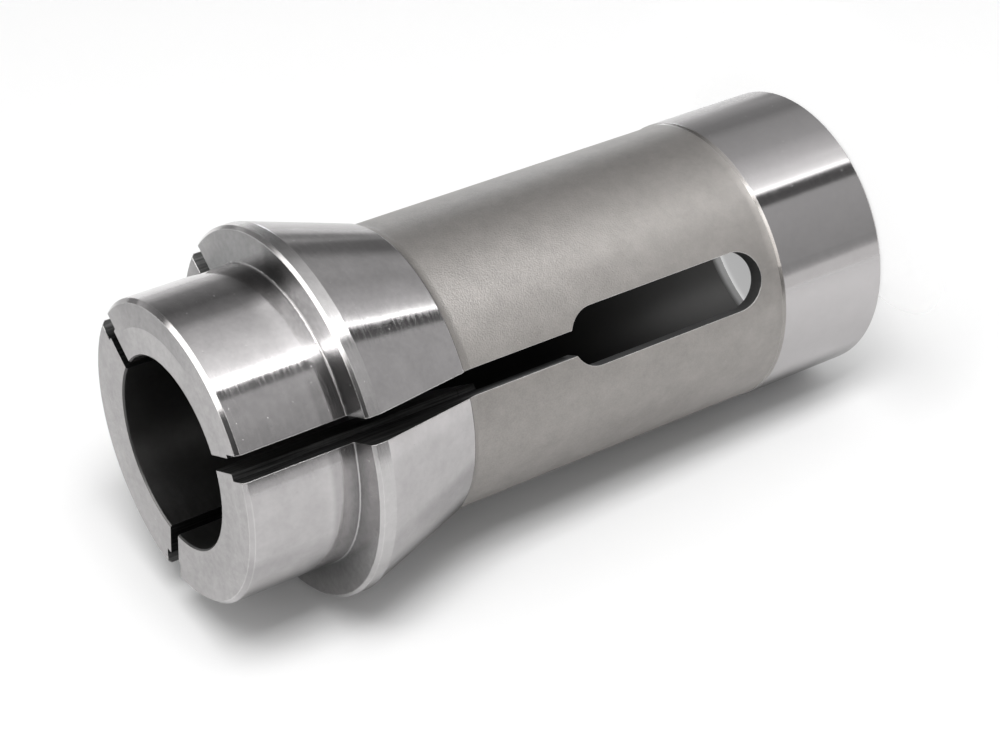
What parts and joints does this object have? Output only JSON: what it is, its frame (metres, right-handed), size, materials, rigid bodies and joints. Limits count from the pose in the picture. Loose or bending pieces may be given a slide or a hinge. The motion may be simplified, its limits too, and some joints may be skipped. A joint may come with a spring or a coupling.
{
  "type": "lathe collet",
  "caption": "One-piece spring steel lathe collet with an extended nose, a rearward closing cone, a ground rear guide and slotted gripping segments that end in long windows.",
  "frame": {"origin": "centre of the flat rear face, which the collet stands on", "axes": "+Z along the collet's axis from the rear face to the nose, +X through the middle of one slot and its window"},
  "size_m": [0.0473, 0.0474, 0.095],
  "materials": {
    "ground_steel": "hardened spring steel, ground on the nose, cone, shoulder and guide, blasted on the body"
  },
  "bodies": {
    "root": {"collet_body": "ground_steel"}
  },
  "joints": []
}
